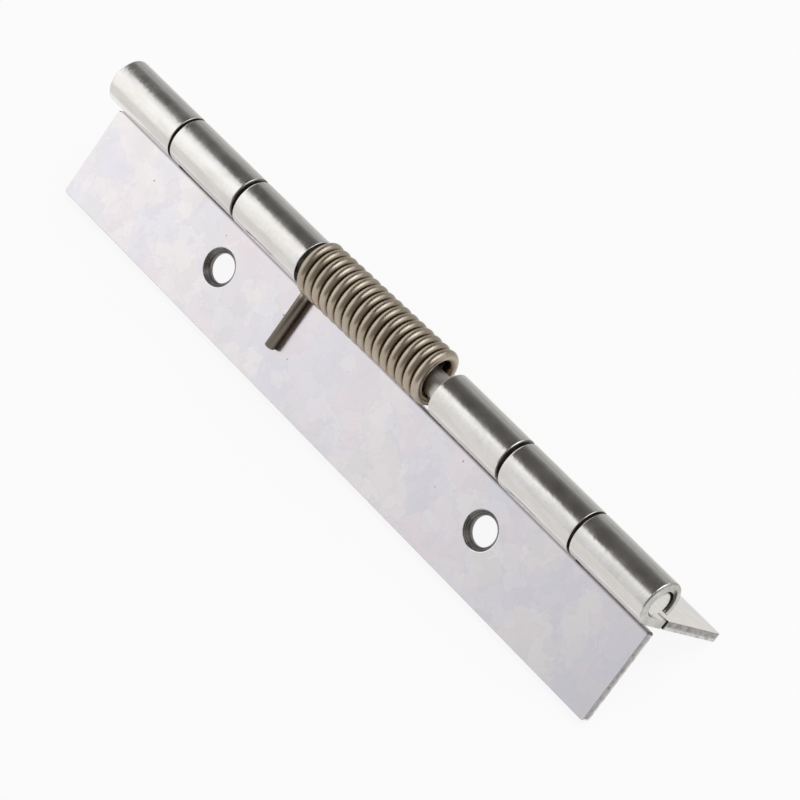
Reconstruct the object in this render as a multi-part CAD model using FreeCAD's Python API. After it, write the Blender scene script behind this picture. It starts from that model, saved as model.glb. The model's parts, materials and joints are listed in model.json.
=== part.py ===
import FreeCAD, Part
import math
import os

from FreeCAD import Vector

# Spring hinge: two alike stamped leaves on one plain pin, with a torsion spring round the middle of the pin.
# Frame: +X along the pin, +Z up, origin on the ground midway between the leaves' free edges.
# The hinge stands on those edges like a tent, at the angle its relaxed spring holds.

# Driving sizes, in millimetres and degrees
LENGTH = 150.0
SHEET = 1.8
PIN_D = 5.0
LEAF_REACH = 24.75
REST_ANGLE = 87.0
WIRE_D = 2.0
COILS = 16
LEG_REACH = 17.4
HOLE_D = 5.5
HOLE_PITCH = 75.0
HOLE_EDGE = 10.9
HOLE_SHIFT = 0.7

# Clearances and small features
PIN_CLEARANCE = 0.15
PIN_SHIFT = 0.1
PIN_RECESS = 0.15
PIN_CHAMFER = 0.3
KNUCKLE_GAP = 0.6
NOTCH_GAP = 1.9
CURL_OPENING = 0.3
CURL_END_GAP = 0.85
COIL_CLEARANCE = 0.9
COIL_RISE = 0.66
COIL_SKEW = 0.4
COIL_GAP = 0.08
COIL_START_GAP = 0.35
COIL_END_ROOM = 2.27
LEG_SEAT = 0.03
CORNER_R = 0.5
RELIEF_W = 0.9
RELIEF_DEPTH = 0.8

# Derived sizes
BORE_R = PIN_D / 2 + PIN_CLEARANCE
BARREL_R = BORE_R + SHEET
HALF_REST = math.radians(REST_ANGLE / 2)
AXIS_Z = LEAF_REACH * math.cos(HALF_REST) + BARREL_R * math.sin(HALF_REST)
COIL_R = PIN_D / 2 + COIL_CLEARANCE + WIRE_D / 2
COIL_PITCH = WIRE_D + COIL_GAP
BAY = COIL_START_GAP + WIRE_D + COILS * COIL_PITCH + COIL_END_ROOM
KNUCKLE = ((LENGTH - BAY) / 2 - 2 * KNUCKLE_GAP) / 3
NOTCH_W = math.sqrt((BARREL_R + NOTCH_GAP) ** 2 - BORE_R ** 2)
SINK_DEPTH = SHEET / 2
SINK_D = HOLE_D + 2 * SINK_DEPTH
HOLE_W = LEAF_REACH - HOLE_EDGE
COIL_W = COIL_SKEW * math.sin(HALF_REST) - COIL_RISE * math.cos(HALF_REST)
COIL_N = COIL_SKEW * math.cos(HALF_REST) + COIL_RISE * math.sin(HALF_REST)
LEG_X = -BAY / 2 + COIL_START_GAP + WIRE_D / 2
LEG_BEND_R = WIRE_D
LEG_DROP = COIL_N + BORE_R - WIRE_D / 2 - LEG_SEAT + LEG_BEND_R
LEG_ANGLE = math.asin(LEG_DROP / (COIL_R + LEG_BEND_R))
TURN_STEPS = 16
WIRE_SIDES = 12
BEND_STEPS = 4

# Leaf sections are drawn as (w, n): w runs from the pin to the free edge, n towards the barrel's side.


def section_point(w, n):
    return Vector(0, w, n)


def ring_point(radius, centre_n, degrees):
    turn = math.radians(degrees)
    return section_point(radius * math.cos(turn), centre_n + radius * math.sin(turn))


def arc(radius, centre_n, start, end):
    """Edge round a centre on the n axis, from one angle to another."""
    points = [ring_point(radius, centre_n, a) for a in (start, (start + end) / 2, end)]
    return Part.Arc(*points).toShape()


def line(start, end):
    return Part.makeLine(start, end)


def knuckle(x_start):
    """Rolled eye with the tab that leads into it; the curl opens a little towards its free end."""
    outer_r = BARREL_R + CURL_OPENING
    inner_r = BORE_R + CURL_OPENING
    drop = BORE_R - CURL_OPENING - CURL_END_GAP
    end = -math.degrees(math.asin(drop / outer_r))
    top = 90
    back = 180
    foot = 270
    edges = [
        line(section_point(NOTCH_W, -BARREL_R), section_point(0, -BARREL_R)),
        arc(BARREL_R, 0, foot, back),
        arc(BARREL_R, 0, back, top),
        arc(outer_r, -CURL_OPENING, top, end),
        line(ring_point(outer_r, -CURL_OPENING, end), ring_point(inner_r, -CURL_OPENING, end)),
        arc(inner_r, -CURL_OPENING, end, top),
        arc(BORE_R, 0, top, back),
        arc(BORE_R, 0, back, foot),
        line(section_point(0, -BORE_R), section_point(NOTCH_W, -BORE_R)),
        line(section_point(NOTCH_W, -BORE_R), section_point(NOTCH_W, -BARREL_R)),
    ]
    face = Part.Face(Part.Wire(edges))
    face.translate(Vector(x_start, 0, 0))
    return face.extrude(Vector(KNUCKLE, 0, 0))


def plate():
    """Flat of the leaf from the notch line to the free edge, with rounded corners."""
    width = LEAF_REACH - NOTCH_W
    flat = Part.makeBox(LENGTH, width, SHEET, Vector(-LENGTH / 2, NOTCH_W, -BARREL_R))

    def is_rounded(edge):
        middle = edge.CenterOfMass
        upright = abs(middle.z + BARREL_R - SHEET / 2) < SHEET / 4
        at_end = abs(abs(middle.x) - LENGTH / 2) < CORNER_R / 4
        under_tab = middle.x > 0 and middle.y < NOTCH_W + width / 2
        return upright and at_end and not under_tab

    return flat.makeFillet(CORNER_R, [edge for edge in flat.Edges if is_rounded(edge)])


def countersunk_hole(x):
    depth = Vector(0, 0, 1)
    through = Part.makeCylinder(HOLE_D / 2, 3 * SHEET, Vector(x, HOLE_W, -BARREL_R - SHEET), depth)
    sink = Part.makeCone(HOLE_D / 2, SINK_D / 2, SINK_DEPTH, Vector(x, HOLE_W, -BORE_R - SINK_DEPTH), depth)
    return through.fuse(sink)


def relief():
    """Small notch at the leaf's end that frees the root of its outermost knuckle for rolling."""
    depth = Vector(0, 0, 1)
    foot = -BARREL_R - SHEET
    x = LENGTH / 2 - RELIEF_DEPTH + RELIEF_W / 2
    round_end = Part.makeCylinder(RELIEF_W / 2, 3 * SHEET, Vector(x, NOTCH_W, foot), depth)
    mouth = Part.makeBox(2 * RELIEF_DEPTH, RELIEF_W, 3 * SHEET, Vector(x, NOTCH_W - RELIEF_W / 2, foot))
    return round_end.fuse(mouth)


def leaf():
    """One stamping, at rest on the +Y side; its twin is the same piece turned half round."""
    step = KNUCKLE + KNUCKLE_GAP
    starts = [BAY / 2, BAY / 2 + 2 * step, -BAY / 2 - step - KNUCKLE]
    solid = plate().fuse([knuckle(x) for x in starts])
    holes = [countersunk_hole(side * HOLE_PITCH / 2 - HOLE_SHIFT) for side in (-1, 1)]
    solid = solid.cut(holes[0].fuse([holes[1], relief()]))
    solid.rotate(Vector(0, 0, 0), Vector(1, 0, 0), 270 + REST_ANGLE / 2)
    solid.translate(Vector(0, 0, AXIS_Z))
    return solid


def half_turned(solid):
    twin = solid.copy()
    twin.rotate(Vector(0, 0, 0), Vector(0, 0, 1), 180)
    return twin


def pin():
    """Plain rod, loose in the eyes and lying towards the fixed leaf."""
    length = LENGTH - 2 * PIN_RECESS
    rod = Part.makeCylinder(PIN_D / 2, length, Vector(-length / 2, -PIN_SHIFT, AXIS_Z), Vector(1, 0, 0))
    rims = [edge for edge in rod.Edges if len(edge.Vertexes) == 1]
    return rod.makeChamfer(PIN_CHAMFER, rims)


def on_leaf(x, w, n, side):
    """Place in the frame of a section point on the -Y leaf (side -1) or the +Y leaf (side 1)."""
    y = w * math.sin(HALF_REST) + n * math.cos(HALF_REST)
    z = -w * math.cos(HALF_REST) + n * math.sin(HALF_REST)
    return Vector(x, side * y, AXIS_Z + z)


def leg_path(x, side):
    """Centre line of one end on its leaf, from the cut tip through the outward bend up to the coil."""
    leg_n = -BORE_R + WIRE_D / 2 + LEG_SEAT
    bend_n = leg_n - LEG_BEND_R
    bend_w = COIL_W + (COIL_R + LEG_BEND_R) * math.cos(LEG_ANGLE)
    path = [on_leaf(x, LEG_REACH, leg_n, side)]
    for i in range(BEND_STEPS):
        turn = math.pi / 2 + (math.pi / 2 - LEG_ANGLE) * i / BEND_STEPS
        w = bend_w + LEG_BEND_R * math.cos(turn)
        n = bend_n + LEG_BEND_R * math.sin(turn)
        path.append(on_leaf(x, w, n, side))
    return path


def spring_path():
    """Centre line of the spring: leg, right-hand coils that lean on the pin but clear it, leg."""
    corner_r = COIL_R / math.cos(math.pi / TURN_STEPS)
    start = 270 - REST_ANGLE / 2 + math.degrees(LEG_ANGLE)
    sweep = 2 * (270 - start) + 360 * COILS
    steps = TURN_STEPS * COILS
    coils = []
    for i in range(steps + 1):
        turn = math.radians(start + sweep * i / steps)
        x = LEG_X + COIL_PITCH * sweep / 360 * i / steps
        y = COIL_SKEW * (2 * i / steps - 1) + corner_r * math.cos(turn)
        coils.append(Vector(x, y, AXIS_Z + COIL_RISE + corner_r * math.sin(turn)))
    far_leg = leg_path(coils[-1].x, 1)
    return leg_path(LEG_X, -1) + coils + far_leg[::-1]


def wire_section(point, heading):
    """Outline of the wire as a regular polygon, which keeps the long spring light to mesh."""
    arm = heading.cross(Vector(1, 0, 0)).normalize() * (WIRE_D / 2)
    corners = []
    for i in range(WIRE_SIDES + 1):
        corners.append(point + FreeCAD.Rotation(heading, 360 * i / WIRE_SIDES).multVec(arm))
    return Part.makePolygon(corners)


def spring():
    """Close-wound torsion spring, swept along its centre line with mitred joints."""
    path = spring_path()
    profile = wire_section(path[0], path[1] - path[0])
    mitred = 1
    return Part.makePolygon(path).makePipeShell([profile], True, False, mitred)


moving_leaf = leaf()
nodes = {
    "moving_leaf": moving_leaf,
    "fixed_leaf": half_turned(moving_leaf),
    "hinge_pin": pin(),
    "torsion_spring": spring(),
}
os.makedirs("parts", exist_ok=True)
for name, shape in nodes.items():
    shape.exportStep("parts/" + name + ".step")
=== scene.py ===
import json
import math

import bmesh
import bpy
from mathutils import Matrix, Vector

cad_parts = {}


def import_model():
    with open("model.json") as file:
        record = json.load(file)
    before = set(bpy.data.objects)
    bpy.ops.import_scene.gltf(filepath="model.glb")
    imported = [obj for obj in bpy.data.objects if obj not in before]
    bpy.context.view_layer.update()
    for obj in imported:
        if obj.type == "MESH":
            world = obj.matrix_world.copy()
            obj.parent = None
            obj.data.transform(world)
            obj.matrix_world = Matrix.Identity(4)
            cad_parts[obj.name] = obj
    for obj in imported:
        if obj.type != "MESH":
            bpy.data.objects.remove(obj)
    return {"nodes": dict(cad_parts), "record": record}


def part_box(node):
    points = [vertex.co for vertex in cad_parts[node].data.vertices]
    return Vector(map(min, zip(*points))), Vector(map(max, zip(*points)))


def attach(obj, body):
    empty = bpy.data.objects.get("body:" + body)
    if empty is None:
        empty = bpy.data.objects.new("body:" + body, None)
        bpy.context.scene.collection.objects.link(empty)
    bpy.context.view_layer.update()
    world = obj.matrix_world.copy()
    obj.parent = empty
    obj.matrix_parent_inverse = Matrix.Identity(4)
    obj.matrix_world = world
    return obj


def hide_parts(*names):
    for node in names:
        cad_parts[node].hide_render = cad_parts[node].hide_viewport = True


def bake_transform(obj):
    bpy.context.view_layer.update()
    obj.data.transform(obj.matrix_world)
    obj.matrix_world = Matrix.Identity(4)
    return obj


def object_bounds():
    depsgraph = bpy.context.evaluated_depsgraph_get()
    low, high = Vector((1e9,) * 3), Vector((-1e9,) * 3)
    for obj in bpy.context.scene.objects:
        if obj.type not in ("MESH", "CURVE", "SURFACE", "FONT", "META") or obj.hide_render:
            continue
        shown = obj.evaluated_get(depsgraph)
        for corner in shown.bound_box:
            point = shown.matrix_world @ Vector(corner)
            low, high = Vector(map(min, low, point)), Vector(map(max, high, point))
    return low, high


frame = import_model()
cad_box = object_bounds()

# Spring hinge: the leaves and the pin are the CAD solids with broken edges, the spring is a round wire.
# Lengths are in metres, in the frame of the CAD model: +X along the pin, +Z up.

MM = 0.001
AXIS_Z = frame["record"]["behaviour"]["joints"][0]["pos_m"][2]
END_X = cad_box[1].x

# Sizes of the leaves and the pin
HALF_REST = math.radians(87) / 2
SHEET = 1.8 * MM
PIN_R = 2.5 * MM
BORE_R = PIN_R + 0.15 * MM
EYE_R = BORE_R + SHEET

# Screw holes of a leaf: distance from the pin's axis, half their pitch, shift along the pin, sink's radius
HOLE_W = 13.85 * MM
HOLE_HALF_PITCH = 37.5 * MM
HOLE_SHIFT = 0.7 * MM
SINK_R = 3.65 * MM

# Sizes of the spring
WIRE_R = 1.0 * MM
COILS = 16
COIL_PITCH = 2 * WIRE_R + 0.08 * MM
COIL_R = PIN_R + 0.9 * MM + WIRE_R
COIL_RISE = 0.66 * MM
COIL_SKEW = 0.4 * MM
COIL_W = COIL_SKEW * math.sin(HALF_REST) - COIL_RISE * math.cos(HALF_REST)
COIL_N = COIL_SKEW * math.cos(HALF_REST) + COIL_RISE * math.sin(HALF_REST)
LEG_BEND_R = 2 * WIRE_R
LEG_REACH = 17.4 * MM
LEG_SEAT = 0.03 * MM
LEG_N = -BORE_R + WIRE_R + LEG_SEAT
LEG_ANGLE = math.asin((COIL_N - LEG_N + LEG_BEND_R) / (COIL_R + LEG_BEND_R))
CHAMFER_SHARE = 0.15
TURN_STEPS = 36
BEND_STEPS = 8
WIRE_SIDES = 18

# Broken edges: the widest, where the punch rolled the knuckles' ends over, and the shares of it elsewhere
EYE_EDGE = 0.4 * MM
BURR_EDGE_SHARE = 0.35
PLATE_EDGE_SHARE = 0.34
PIN_EDGE = 0.15 * MM
SHARP = math.radians(32)

# Joining of the CAD mesh's facets into clean faces
MERGE_REACH = 0.001 * MM
FACET_ANGLE = math.radians(1.5)

# Room for telling a leaf's faces apart, and where the small faces of the relief notch lie
SQUARE = math.cos(math.radians(3))
LOOSE = 0.4 * MM
END_ROOM = 0.01 * MM
RELIEF_ZONE = 2.2 * MM
RELIEF_AREA = 5 * MM ** 2
RELIEF_TILT = 0.2

# Parts of a face's normal: along the pin on a knuckle's end and on its wall, and outwards on the outer wall
END_FACING = 0.9
WALL_FACING = 0.1
OUTER_FACING = 0.8

# Bands of the finish, as distances from the pin's axis: from a barrel to the flat, the painted shade at the
# barrels' root, and the painted shade along the spring's legs
FLAT_BAND = (5 * MM, 7 * MM)
ROOT_SHADE_BAND = (4 * MM, 8 * MM)
LEG_SHADE_BAND = (5.9 * MM, 6.9 * MM)

# Painted shade under an eye's open lip, in place of a wider gap: its width beyond the bore, and where the lip
# is along the leaf and square to it
LIP_SHADE = (0.65 * MM, 1.0 * MM)
LIP_ALONG = (0.4 * MM, 1.6 * MM)
LIP_RISE = (-1.6 * MM, -1.2 * MM)

# Cut edge: how far the border of its torn part wanders, how soft it is, and its middle as a share of the sheet
TEAR = 1.2 * MM
TEAR_SOFT = 0.15 * MM
TORN_SHARE = 0.62

# Reach of the painted shade that darkens the crevices between the coils
CREVICE_SHADE_REACH = 2.4 * MM

WHITE = (1, 1, 1)


# Materials

class Nodes:
    """Node tree of a metal, with short calls to add and join its nodes."""

    def __init__(self, name):
        self.material = bpy.data.materials.new(name)
        self.material.use_nodes = True
        self.tree = self.material.node_tree
        self.shader = self.tree.nodes["Principled BSDF"]
        self.place = self.add("ShaderNodeTexCoord").outputs["Object"]

    def set(self, socket, value):
        if isinstance(value, bpy.types.NodeSocket):
            self.tree.links.new(value, socket)
        else:
            socket.default_value = value

    def add(self, kind, inputs=None, **settings):
        node = self.tree.nodes.new(kind)
        for key, value in settings.items():
            setattr(node, key, value)
        for key, value in (inputs or {}).items():
            self.set(node.inputs[key], value)
        return node

    def calc(self, operation, *values):
        return self.add("ShaderNodeMath", dict(enumerate(values)), operation=operation).outputs["Value"]

    def vector(self, operation, *values):
        return self.add("ShaderNodeVectorMath", dict(enumerate(values)), operation=operation).outputs

    def axes(self):
        return self.add("ShaderNodeSeparateXYZ", {"Vector": self.place}).outputs

    def stretched(self, scale):
        return self.add("ShaderNodeMapping", {"Vector": self.place, "Scale": scale}).outputs["Vector"]

    def noise(self, scale, detail=3.0, distortion=0.0, along=None):
        source = along if along is not None else self.place
        inputs = {"Vector": source, "Scale": scale, "Detail": detail, "Distortion": distortion}
        return self.add("ShaderNodeTexNoise", inputs).outputs["Fac"]

    def off_axis(self):
        """Distance from the pin's axis."""
        from_pin = self.vector("ADD", self.place, (0, 0, -AXIS_Z))["Vector"]
        across = self.vector("MULTIPLY", from_pin, (0, 1, 1))["Vector"]
        return self.vector("LENGTH", across)["Value"]

    def depth(self):
        """Height above the pin's axis, square to the leaf, over the cosine of half the rest angle."""
        axes = self.axes()
        sideways = self.calc("ABSOLUTE", axes["Y"])
        lifted = self.calc("SUBTRACT", axes["Z"], AXIS_Z)
        return self.calc("MULTIPLY_ADD", lifted, math.tan(HALF_REST), sideways)

    def patches(self, scale, *tints):
        """Soft uneven cells, each in one of the tints."""
        ripple = 2.5 * scale
        wander = 0.9 / scale
        first, last = 0.2, 0.8
        inputs = {"Vector": self.place, "Scale": ripple, "Detail": 3.0}
        drift = self.add("ShaderNodeTexNoise", inputs).outputs["Color"]
        shifted = self.vector("MULTIPLY_ADD", drift, (wander,) * 3, self.place)["Vector"]
        inputs = {"Vector": shifted, "Scale": scale, "Smoothness": 0.25}
        cells = self.add("ShaderNodeTexVoronoi", inputs, feature="SMOOTH_F1").outputs["Color"]
        pick = self.add("ShaderNodeSeparateColor", {"Color": cells}).outputs["Red"]
        gap = (last - first) / (len(tints) - 1)
        return self.ramp(pick, *((first + gap * i, tint) for i, tint in enumerate(tints)))

    def ramp(self, fac, *stops):
        node = self.add("ShaderNodeValToRGB", {"Fac": fac})
        node.color_ramp.interpolation = "EASE"
        set_stops(node.color_ramp, stops)
        return node.outputs["Color"]

    def between(self, value, low, high, to_low, to_high):
        inputs = {"Value": value, "From Min": low, "From Max": high, "To Min": to_low, "To Max": to_high}
        return self.add("ShaderNodeMapRange", inputs).outputs["Result"]

    def rising(self, value, band):
        """0 before the band and 1 after it."""
        return self.between(value, *band, 0.0, 1.0)

    def multiply(self, a, b, fac=1.0):
        node = self.add("ShaderNodeMix", data_type="RGBA", blend_type="MULTIPLY")
        colours = [i for i in node.inputs if i.type == "RGBA"]
        for socket, value in zip([node.inputs["Factor"], *colours], (fac, a, b)):
            self.set(socket, value)
        return [o for o in node.outputs if o.type == "RGBA"][0]

    def bump(self, height, strength, distance):
        inputs = {"Height": height, "Strength": strength, "Distance": distance}
        return self.add("ShaderNodeBump", inputs).outputs["Normal"]

    def metal(self, colour, roughness, normal):
        self.shader.inputs["Metallic"].default_value = 1.0
        self.tree.links.new(colour, self.shader.inputs["Base Color"])
        self.tree.links.new(roughness, self.shader.inputs["Roughness"])
        self.tree.links.new(normal, self.shader.inputs["Normal"])
        return self.material


def set_stops(color_ramp, stops):
    elements = color_ramp.elements
    while len(elements) < len(stops):
        elements.new(0.5)
    for element, (position, colour) in zip(elements, stops):
        element.position = position
        element.color = (*colour, 1)


def along_leaf(side):
    """Direction from the pin to a leaf's free edge, on the -Y leaf (side -1) or the +Y leaf (side 1)."""
    return Vector((0, side * math.sin(HALF_REST), -math.cos(HALF_REST)))


def off_leaf(side):
    """Direction square to a leaf, towards the barrel's side."""
    return Vector((0, side * math.cos(HALF_REST), math.sin(HALF_REST)))


def sheet_steel():
    """Bright plated sheet: clouds and a few specks on the flat, tarnished barrels, painted shade at their root.
    """
    n = Nodes("leaf_sheet")
    radius = n.off_axis()
    flat = n.rising(radius, FLAT_BAND)
    rolled = n.between(flat, 0.0, 1.0, 1.0, 0.0)
    large = n.patches(130, (0.99, 0.948, 0.988), (0.947, 0.944, 0.982),
                      (0.947, 0.946, 1.01), (1.0, 0.982, 0.998))
    small = n.patches(290, (0.992, 0.977, 1.0), (0.95, 0.95, 0.974),
                      (0.97, 0.965, 0.996), (1.008, 1.003, 1.018))
    colour = n.multiply((0.885, 0.875, 0.865, 1), n.multiply(large, small), flat)
    streaks = n.noise(1.0, 4, 0.0, n.stretched((160, 520, 520)))
    tarnish = n.ramp(streaks, (0.36, (0.945, 0.935, 0.925)), (0.6, WHITE))
    colour = n.multiply(colour, tarnish, rolled)
    # painted shade on the leaf's face along the barrels' root
    root = n.rising(radius, ROOT_SHADE_BAND)
    grime = n.ramp(root, (0.22, WHITE), (0.4, (0.3, 0.29, 0.28)), (0.58, (0.4, 0.39, 0.38)), (0.72, WHITE))
    colour = n.multiply(colour, grime)
    cells = n.add("ShaderNodeTexVoronoi", {"Vector": n.place, "Scale": 420.0, "Randomness": 1.0})
    dots = n.rising(cells.outputs["Distance"], (0.04, 0.09))
    unpicked = n.between(n.noise(240, 1), 0.60, 0.63, 1.0, 0.0)
    specks = n.ramp(n.calc("MAXIMUM", dots, unpicked), (0.0, (0.3, 0.28, 0.27)), (1.0, WHITE))
    colour = n.multiply(colour, specks, flat)
    rough = n.between(n.noise(260, 4), 0.3, 0.7, 0.17, 0.24)
    grain = n.noise(1.0, 3, 0.0, n.stretched((120, 2600, 2600)))
    lumps = n.calc("MULTIPLY_ADD", grain, 0.25, n.noise(1000, 2))
    return n.metal(colour, rough, n.bump(lumps, n.between(flat, 0.0, 1.0, 0.55, 0.12), 0.04 * MM))


def sheared_steel():
    """Cut edge of the sheet: torn and dull on the barrel's side, burnished on the back."""
    n = Nodes("leaf_cut_edge")
    tear = n.noise(1.0, 4, 0.3, n.stretched((1400, 900, 900)))
    ragged = n.calc("MULTIPLY_ADD", tear, TEAR, n.depth())
    middle = -(BORE_R + TORN_SHARE * SHEET) / math.cos(HALF_REST) + TEAR / 2
    torn = n.rising(ragged, (middle - TEAR_SOFT, middle + TEAR_SOFT))
    colour = n.multiply(n.ramp(torn, (0.0, (0.66, 0.64, 0.62)), (1.0, (0.44, 0.43, 0.42))),
                        n.ramp(tear, (0.3, (0.55, 0.55, 0.55)), (0.6, WHITE)))
    rough = n.between(torn, 0.0, 1.0, 0.32, 0.5)
    return n.metal(colour, rough, n.bump(tear, 0.3, 0.06 * MM))


def joint_grime():
    """Inside of the eyes, of the gaps between them and of the relief notch: painted shade of these recesses,
    and old oil in them.
    """
    n = Nodes("leaf_joint_grime")
    film = n.noise(500, 3)
    # painted shade of the recesses, with old oil
    colour = n.ramp(film, (0.3, (0.16, 0.152, 0.145)), (0.7, (0.32, 0.31, 0.30)))
    return n.metal(colour, n.between(film, 0.3, 0.7, 0.35, 0.55), n.bump(film, 0.2, 0.03 * MM))


def eye_end_steel():
    """Plated end of an outermost eye: a little uneven from the shears, with painted shade under the open lip in
    place of a wider gap.
    """
    n = Nodes("leaf_eye_end")
    axes = n.axes()
    sideways = n.calc("MULTIPLY", axes["Y"], n.calc("SIGN", axes["X"]))
    lifted = n.calc("SUBTRACT", axes["Z"], AXIS_Z)
    spoke = n.add("ShaderNodeCombineXYZ", {"Y": sideways, "Z": lifted}).outputs["Vector"]
    reach = n.vector("DOT_PRODUCT", spoke, along_leaf(1))["Value"]
    rise = n.vector("DOT_PRODUCT", spoke, off_leaf(1))["Value"]
    lip = n.calc("MINIMUM", n.rising(reach, LIP_ALONG), n.rising(rise, LIP_RISE))
    # painted shade: a dark ring under the open lip, in place of a wider gap
    from_bore = n.rising(n.off_axis(), [BORE_R + width for width in LIP_SHADE])
    lip_shade = n.ramp(from_bore, (0.0, (0.12, 0.1, 0.085)), (1.0, WHITE))
    tear = n.noise(1.0, 4, 0.4, n.stretched((700, 500, 500)))
    colour = n.ramp(tear, (0.3, (0.44, 0.43, 0.41)), (0.7, (0.66, 0.65, 0.63)))
    rough = n.between(tear, 0.3, 0.7, 0.24, 0.4)
    return n.metal(n.multiply(colour, lip_shade, lip), rough, n.bump(tear, 0.4, 0.08 * MM))


def shaded_hole_steel():
    """Wall of a screw hole: dull, darkened by painted shade of the hole, with rings from the countersinking
    tool.
    """
    n = Nodes("leaf_hole_wall_shaded")
    rings = n.noise(5200, 2, 0.0, n.add("ShaderNodeCombineXYZ", {"X": n.depth()}).outputs["Vector"])
    # painted shade: the hole's wall kept dark
    colour = n.multiply(n.ramp(rings, (0.35, (0.13, 0.125, 0.12)), (0.65, (0.36, 0.355, 0.345))),
                        n.ramp(n.noise(1500, 3), (0.3, (0.7, 0.7, 0.7)), (0.7, WHITE)))
    return n.metal(colour, n.between(rings, 0.3, 0.7, 0.35, 0.5), n.bump(rings, 0.4, 0.06 * MM))


def rod_steel():
    """Drawn rod: fine lines along its length."""
    n = Nodes("pin_rod")
    lines = n.noise(1.0, 2, 0.0, n.stretched((60, 3500, 3500)))
    colour = n.ramp(lines, (0.3, (0.70, 0.69, 0.66)), (0.7, (0.79, 0.78, 0.75)))
    rough = n.between(n.noise(300, 2), 0.3, 0.7, 0.36, 0.46)
    return n.metal(colour, rough, n.bump(lines, 0.12, 0.02 * MM))


def spring_steel():
    """Drawn spring wire: warm grey with an uneven oxide tint, with painted shade in its crevices and along its
    legs.
    """
    n = Nodes("spring_wire_steel")
    tint = n.noise(160, 3, 0.3)
    # painted shade in the crevices between the coils, from ambient occlusion
    open_to_air = n.add("ShaderNodeAmbientOcclusion", {"Distance": CREVICE_SHADE_REACH}, samples=8).outputs["AO"]
    crevice_shade = n.ramp(open_to_air, (0.12, (0.36, 0.28, 0.2)), (0.5, (0.5, 0.43, 0.36)), (0.93, WHITE))
    colour = n.ramp(tint, (0.3, (0.505, 0.438, 0.353)), (0.7, (0.59, 0.52, 0.43)))
    # painted shade along the spring's legs
    colour = n.multiply(n.multiply(colour, crevice_shade), (0.4, 0.41, 0.42, 1), n.rising(n.off_axis(), LEG_SHADE_BAND))
    rough = n.between(n.noise(700, 2), 0.3, 0.7, 0.25, 0.36)
    return n.metal(colour, rough, n.bump(n.noise(2500, 2), 0.10, 0.02 * MM))


LEAF_METALS = [sheet_steel(), sheared_steel(), joint_grime(), eye_end_steel(), shaded_hole_steel()]
ON_SHEET, ON_CUT, IN_SHADE_AND_OIL, ON_EYE_END, IN_HOLE = range(len(LEAF_METALS))


# Pieces

def broken_edges(node, name, body, width, materials, paint=None, share=None):
    """Copy of a CAD node as clean faces with its sharp edges broken, in the node's place.

    paint gives a face's material and share gives an edge's part of the width."""
    mesh = bpy.data.meshes.new(name)
    shape = bmesh.new()
    shape.from_mesh(frame["nodes"][node].data)
    bmesh.ops.remove_doubles(shape, verts=shape.verts, dist=MERGE_REACH)
    bmesh.ops.dissolve_limit(shape, angle_limit=FACET_ANGLE, verts=shape.verts, edges=shape.edges)
    shape.normal_update()
    for face in shape.faces:
        face.smooth = True
        face.material_index = paint(face) if paint else 0
    weight = shape.edges.layers.float.new("bevel_weight_edge")
    for edge in shape.edges:
        if edge.calc_face_angle(0) > SHARP:
            edge[weight] = share(edge) if share else 1
    shape.to_mesh(mesh)
    shape.free()
    for material in materials:
        mesh.materials.append(material)
    piece = bpy.data.objects.new(name, mesh)
    bpy.context.collection.objects.link(piece)
    bevel = piece.modifiers.new("broken_edges", "BEVEL")
    bevel.width = width
    bevel.segments = 3
    bevel.limit_method = "WEIGHT"
    bevel.use_clamp_overlap = False
    bevel.loop_slide = False
    normals = piece.modifiers.new("flat_faces", "WEIGHTED_NORMAL")
    normals.weight = 100
    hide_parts(node)
    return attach(piece, body)


def off_axis(point):
    return math.hypot(point.y, point.z - AXIS_Z)


def leaf_paint(side):
    """Metal of a leaf's face: sheet, cut edge, eye's end, hole wall, or painted shade inside an eye, gap or
    notch.
    """
    along = along_leaf(side)
    upright = off_leaf(side)

    def paint(face):
        middle = face.calc_center_median()
        reach = (middle - Vector((0, 0, AXIS_Z))).dot(along)
        facing_edge = abs(face.normal.dot(along))
        from_hole = math.hypot(abs(middle.x + side * HOLE_SHIFT) - HOLE_HALF_PITCH, reach - HOLE_W)
        if from_hole < SINK_R + LOOSE and abs(face.normal.dot(upright)) < SQUARE:
            return IN_HOLE
        # the bore, the gaps' ends and the notch take the painted shade with oil
        if max(off_axis(v.co) for v in face.verts) < BORE_R + LOOSE:
            return IN_SHADE_AND_OIL
        if abs(face.normal.x) > SQUARE:
            if off_axis(middle) >= EYE_R:
                return ON_CUT
            return ON_EYE_END if abs(middle.x) > END_X - END_ROOM else IN_SHADE_AND_OIL
        near_notch = abs(middle.x) > END_X - RELIEF_ZONE and reach < EYE_R + RELIEF_ZONE
        if near_notch and face.calc_area() < RELIEF_AREA:
            return IN_SHADE_AND_OIL if facing_edge > RELIEF_TILT and off_axis(middle) > EYE_R + LOOSE else ON_SHEET
        return ON_CUT if facing_edge > SQUARE else ON_SHEET

    return paint


def leaf_share(side):
    """Share of the broken edge's width: widest round one end of each knuckle, where the punch entered."""

    def share(edge):
        middle = (edge.verts[0].co + edge.verts[1].co) / 2
        spoke = Vector((0, middle.y, middle.z - AXIS_Z))
        outward = spoke.normalized()
        ends = [face.normal.x for face in edge.link_faces if abs(face.normal.x) > END_FACING]
        walls = [face.normal.dot(outward) for face in edge.link_faces if abs(face.normal.x) < WALL_FACING]
        if not ends or not walls or spoke.length > EYE_R + LOOSE or walls[0] < OUTER_FACING:
            return PLATE_EDGE_SHARE
        return 1 if ends[0] * side > 0 else BURR_EDGE_SHARE

    return share


for node, side in (("fixed_leaf", -1), ("moving_leaf", 1)):
    broken_edges(node, node + "_sheet", node, EYE_EDGE, LEAF_METALS,
                 leaf_paint(side), leaf_share(side))
broken_edges("hinge_pin", "hinge_pin_rod", "fixed_leaf", PIN_EDGE, [rod_steel()])


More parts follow.
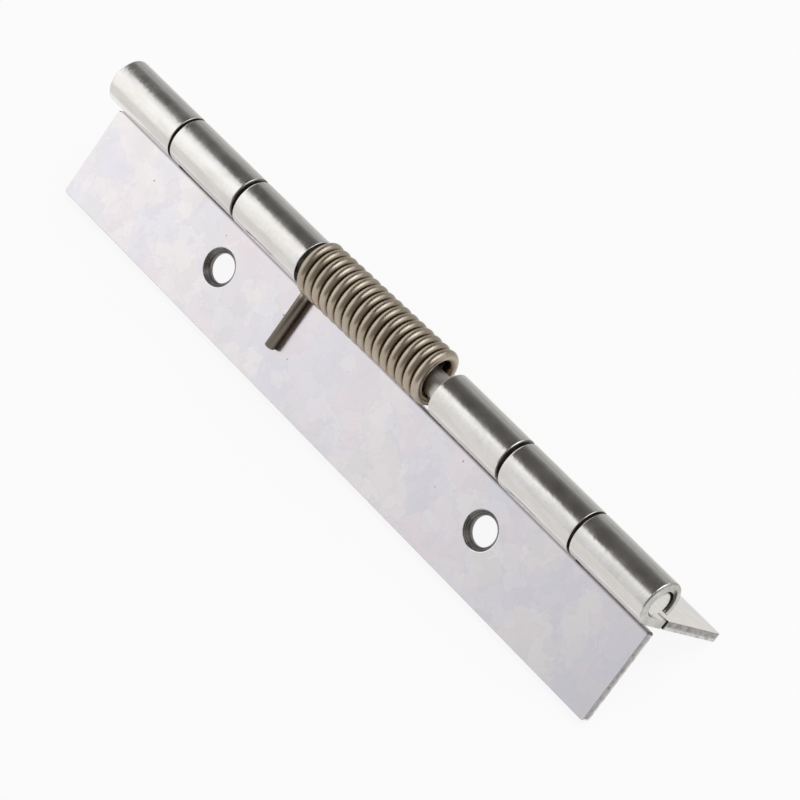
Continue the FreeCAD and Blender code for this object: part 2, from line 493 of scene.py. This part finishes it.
def on_leaf(x, w, n, side):
    """Point at w from the pin along a leaf and n above the pin's axis, square to the leaf."""
    y = w * math.sin(HALF_REST) + n * math.cos(HALF_REST)
    z = -w * math.cos(HALF_REST) + n * math.sin(HALF_REST)
    return Vector((x, side * y, AXIS_Z + z))


def leg_line(x, side):
    """Centre line of one end of the wire, from its tip on the leaf through the bend to the coil."""
    bend_n = LEG_N - LEG_BEND_R
    bend_w = COIL_W + (COIL_R + LEG_BEND_R) * math.cos(LEG_ANGLE)
    line = [on_leaf(x, LEG_REACH, LEG_N, side)]
    for i in range(BEND_STEPS):
        turn = math.pi / 2 + (math.pi / 2 - LEG_ANGLE) * i / BEND_STEPS
        w = bend_w + LEG_BEND_R * math.cos(turn)
        n = bend_n + LEG_BEND_R * math.sin(turn)
        line.append(on_leaf(x, w, n, side))
    return line


def spring_line():
    """Centre line of the whole spring, leg to leg; its coils lean from the fixed leaf to the moving one."""
    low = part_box("torsion_spring")[0].x + WIRE_R
    start = 1.5 * math.pi - HALF_REST + LEG_ANGLE
    sweep = 2 * (1.5 * math.pi - start) + 2 * math.pi * COILS
    steps = TURN_STEPS * COILS
    coils = []
    for i in range(steps + 1):
        turn = start + sweep * i / steps
        x = low + COIL_PITCH * sweep / (2 * math.pi) * i / steps
        y = COIL_SKEW * (2 * i / steps - 1) + COIL_R * math.cos(turn)
        coils.append(Vector((x, y, AXIS_Z + COIL_RISE + COIL_R * math.sin(turn))))
    return leg_line(low, -1) + coils + leg_line(coils[-1].x, 1)[::-1]


def wire(name, line, material):
    """Round wire along a centre line, with chamfered cut ends."""
    shape = bmesh.new()
    rings = []
    side = Vector((1, 0, 0))
    chamfer = CHAMFER_SHARE * WIRE_R
    tip = 1 - CHAMFER_SHARE
    stations = [(line[0], tip)] + [(point, 1.0) for point in line] + [(line[-1], tip)]
    for place, end, inner in ((1, line[0], line[1]), (-2, line[-1], line[-2])):
        stations[place] = (end - (end - inner).normalized() * chamfer, 1.0)
    for i, (point, share) in enumerate(stations):
        before = stations[max(i - 1, 0)][0]
        after = stations[min(i + 1, len(stations) - 1)][0]
        heading = (after - before).normalized()
        side = (side - heading * side.dot(heading)).normalized()
        up = heading.cross(side)
        ring = []
        for k in range(WIRE_SIDES):
            turn = 2 * math.pi * k / WIRE_SIDES
            spoke = side * math.cos(turn) + up * math.sin(turn)
            ring.append(shape.verts.new(point + spoke * WIRE_R * share))
        rings.append(ring)
    for a, b in zip(rings, rings[1:]):
        for k in range(WIRE_SIDES):
            following = (k + 1) % WIRE_SIDES
            shape.faces.new((a[k], a[following], b[following], b[k])).smooth = True
    shape.faces.new(rings[0][::-1])
    shape.faces.new(rings[-1])
    bmesh.ops.recalc_face_normals(shape, faces=shape.faces)
    mesh = bpy.data.meshes.new(name)
    shape.to_mesh(mesh)
    shape.free()
    mesh.materials.append(material)
    piece = bpy.data.objects.new(name, mesh)
    bpy.context.collection.objects.link(piece)
    return piece


spring = wire("torsion_spring_wire", spring_line(), spring_steel())
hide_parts("torsion_spring")
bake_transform(spring)


# Stage

FLOOR_HALF = 2.0
FLOOR_DROP = 0.05 * MM
FLOOR_WHITE_SHARE = 0.88
WORLD_LIGHT = 0.6


def backdrop_share(tree):
    """1 for rays that see the white surroundings: camera, glossy and transmission rays."""
    path = tree.nodes.new("ShaderNodeLightPath")
    share = path.outputs["Is Camera Ray"]
    for name in ("Is Glossy Ray", "Is Transmission Ray"):
        node = tree.nodes.new("ShaderNodeMath")
        node.operation = "MAXIMUM"
        tree.links.new(share, node.inputs[0])
        tree.links.new(path.outputs[name], node.inputs[1])
        share = node.outputs["Value"]
    return share


def staged(name, corners, material):
    """Flat sheet of the studio."""
    mesh = bpy.data.meshes.new(name)
    mesh.from_pydata(corners, [], [(0, 1, 2, 3)])
    mesh.materials.append(material)
    plane = bpy.data.objects.new(name, mesh)
    bpy.context.collection.objects.link(plane)
    return plane


def floor():
    """White paper that keeps a part of the object's shadow."""
    material = bpy.data.materials.new("floor_white")
    material.use_nodes = True
    tree = material.node_tree
    paper = tree.nodes["Principled BSDF"]
    paper.inputs["Base Color"].default_value = (0.9, 0.9, 0.9, 1)
    paper.inputs["Roughness"].default_value = 1.0
    paper.inputs["Specular IOR Level"].default_value = 0.0
    white = tree.nodes.new("ShaderNodeEmission")
    part = tree.nodes.new("ShaderNodeMath")
    part.operation = "MULTIPLY"
    part.inputs[1].default_value = FLOOR_WHITE_SHARE
    tree.links.new(backdrop_share(tree), part.inputs[0])
    mix = tree.nodes.new("ShaderNodeMixShader")
    tree.links.new(part.outputs["Value"], mix.inputs["Fac"])
    tree.links.new(paper.outputs["BSDF"], mix.inputs[1])
    tree.links.new(white.outputs["Emission"], mix.inputs[2])
    tree.links.new(mix.outputs["Shader"], tree.nodes["Material Output"].inputs["Surface"])
    signs = ((-1, -1), (1, -1), (1, 1), (-1, 1))
    plane = staged("floor", [(FLOOR_HALF * x, FLOOR_HALF * y, 0) for x, y in signs], material)
    plane.location.z = -FLOOR_DROP


def card(name, corners, start, end, *stops):
    """Studio flag that only reflections see, shaded along the line from start to end."""
    material = bpy.data.materials.new(name + "_paint")
    material.use_nodes = True
    tree = material.node_tree
    place = tree.nodes.new("ShaderNodeTexCoord")
    dot = tree.nodes.new("ShaderNodeVectorMath")
    dot.operation = "DOT_PRODUCT"
    run = Vector(end) - Vector(start)
    dot.inputs[1].default_value = run / run.length_squared
    tree.links.new(place.outputs["Object"], dot.inputs[0])
    offset = tree.nodes.new("ShaderNodeMath")
    offset.operation = "SUBTRACT"
    offset.inputs[1].default_value = Vector(start).dot(run) / run.length_squared
    tree.links.new(dot.outputs["Value"], offset.inputs[0])
    ramp = tree.nodes.new("ShaderNodeValToRGB")
    set_stops(ramp.color_ramp, stops)
    tree.links.new(offset.outputs["Value"], ramp.inputs["Fac"])
    glow = tree.nodes.new("ShaderNodeEmission")
    tree.links.new(ramp.outputs["Color"], glow.inputs["Color"])
    tree.links.new(glow.outputs["Emission"], tree.nodes["Material Output"].inputs["Surface"])
    plane = staged(name, corners, material)
    for ray in ("camera", "diffuse", "transmission", "volume_scatter", "shadow"):
        setattr(plane, "visible_" + ray, False)


def world():
    surroundings = bpy.data.worlds.new("studio")
    surroundings.use_nodes = True
    tree = surroundings.node_tree
    seen = tree.nodes["Background"]
    seen.inputs["Color"].default_value = (*WHITE, 1)
    light = tree.nodes.new("ShaderNodeBackground")
    light.inputs["Color"].default_value = (*WHITE, 1)
    light.inputs["Strength"].default_value = WORLD_LIGHT
    mix = tree.nodes.new("ShaderNodeMixShader")
    tree.links.new(backdrop_share(tree), mix.inputs["Fac"])
    tree.links.new(light.outputs["Background"], mix.inputs[1])
    tree.links.new(seen.outputs["Background"], mix.inputs[2])
    tree.links.new(mix.outputs["Shader"], tree.nodes["World Output"].inputs["Surface"])
    bpy.context.scene.world = surroundings


def softbox(name, length, width, place, watts):
    """Area lamp that faces straight down."""
    lamp = bpy.data.lights.new(name, "AREA")
    lamp.shape = "RECTANGLE"
    lamp.size = length
    lamp.size_y = width
    lamp.energy = watts
    box = bpy.data.objects.new(name, lamp)
    box.location = place
    bpy.context.collection.objects.link(box)


def grey(level):
    return (level, level, level)


def level_corners(x0, x1, y0, y1, z):
    return [(x0, y0, z), (x1, y0, z), (x1, y1, z), (x0, y1, z)]


def front_corners(x0, x1, y, z0, z1):
    return [(x0, y, z0), (x1, y, z0), (x1, y, z1), (x0, y, z1)]


def side_corners(x, y0, y1, z0, z1):
    return [(x, y0, z0), (x, y1, z0), (x, y1, z1), (x, y0, z1)]


# The studio's walls, the height of the overhead flag and of the ceiling
FRONT_Y = -1.5
BACK_Y = 2.4
RIGHT_X = 1.5
OVERHEAD_Z = 1.0
CEILING_Z = 2.2

# Tones of the flags
CAMERA_SIDE = (0.22, 0.205, 0.19)
DARK_TO_BACK = ((0.0, CAMERA_SIDE), (0.42, CAMERA_SIDE), (0.56, (0.42, 0.41, 0.4)),
                (0.7, grey(0.68)), (1.0, grey(0.8)))
FRONT_DARK = (0.2, 0.185, 0.17)
TABLE_CREAM = (0.8, 0.79, 0.725)
TABLE_GREY = (0.5, 0.5, 0.49)
FOOT_GREY = (0.75, 0.735, 0.715)

floor()

# Overhead: the dark band along the barrels
OVERHEAD_OUTLINE = ((-0.31, -0.79), (0.05, 0.0), (-0.6, 3.2), (-2.3, 2.59))
card("overhead_flag", [(x, y, OVERHEAD_Z) for x, y in OVERHEAD_OUTLINE],
     (0, -0.5, OVERHEAD_Z), (0, 3.0, OVERHEAD_Z),
     (0.0, (0.062, 0.057, 0.051)), (0.24, (0.067, 0.061, 0.055)), (0.43, (0.1, 0.098, 0.093)),
     (0.71, (0.28, 0.28, 0.27)), (1.0, (0.45, 0.45, 0.44)))

# In front: bright to the left for the fixed leaf, which darkens towards its near end
card("front_flag", front_corners(-2.4, 3.0, FRONT_Y, 0.0, 3.4), (-1.7, FRONT_Y, 0.5), (1.5, FRONT_Y, 0.5),
     (0.0, (1.1, 1.09, 1.06)), (0.131, (1.08, 1.07, 1.04)), (0.163, (0.99, 0.98, 0.96)),
     (0.22, (0.86, 0.855, 0.845)), (0.27, grey(0.78)), (0.306, grey(0.66)), (0.47, (0.35, 0.35, 0.36)),
     (0.69, FRONT_DARK), (1.0, FRONT_DARK))

# To the right and above the camera: the dim side of the coils, fading to the back
card("right_flag", side_corners(RIGHT_X, FRONT_Y, BACK_Y, 0.0, CEILING_Z),
     (RIGHT_X, FRONT_Y, 0), (RIGHT_X, BACK_Y, 0), *DARK_TO_BACK)
card("ceiling_flag", level_corners(0.0, RIGHT_X, FRONT_Y, BACK_Y, CEILING_Z),
     (0, FRONT_Y, CEILING_Z), (0, BACK_Y, CEILING_Z), *DARK_TO_BACK)

# At the back, and on the floor behind and in front of the hinge: greys for the low mirrorings, those on the
# floor as painted shade of the floor round the hinge
card("back_flag", front_corners(-4.5, 3.0, BACK_Y, 0.0, 1.0), (0, BACK_Y, 0), (0, BACK_Y, 1),
     (0.0, (0.34, 0.34, 0.33)), (1.0, (0.4, 0.4, 0.39)))
card("table_flag", level_corners(-1.0, 0.2, 0.0155, 1.0, 0), (0, 0, 0), (0, 0.1, 0),
     (0.0, TABLE_CREAM), (0.3, TABLE_CREAM), (0.6, TABLE_GREY), (1.0, TABLE_GREY))
card("foot_flag", level_corners(-1.2, 0.3, -0.5, -0.0185, 0), (0, 0, 0), (1, 0, 0),
     (0.0, FOOT_GREY), (1.0, FOOT_GREY))

world()
softbox("key_light", length=1.0, width=1.2, place=(0.3, 0.62, 1.1), watts=4.8)

camera = bpy.data.cameras.new("camera")
camera.sensor_width = 36
camera.lens = 177.97
view = bpy.data.objects.new("camera", camera)
view.location = (0.35245, -0.28596, 0.52999)
view.rotation_euler = [math.radians(a) for a in (40.6702, -1.532, 52.2366)]
bpy.context.collection.objects.link(view)
bpy.context.scene.camera = view
bpy.context.scene.view_settings.view_transform = "Standard"
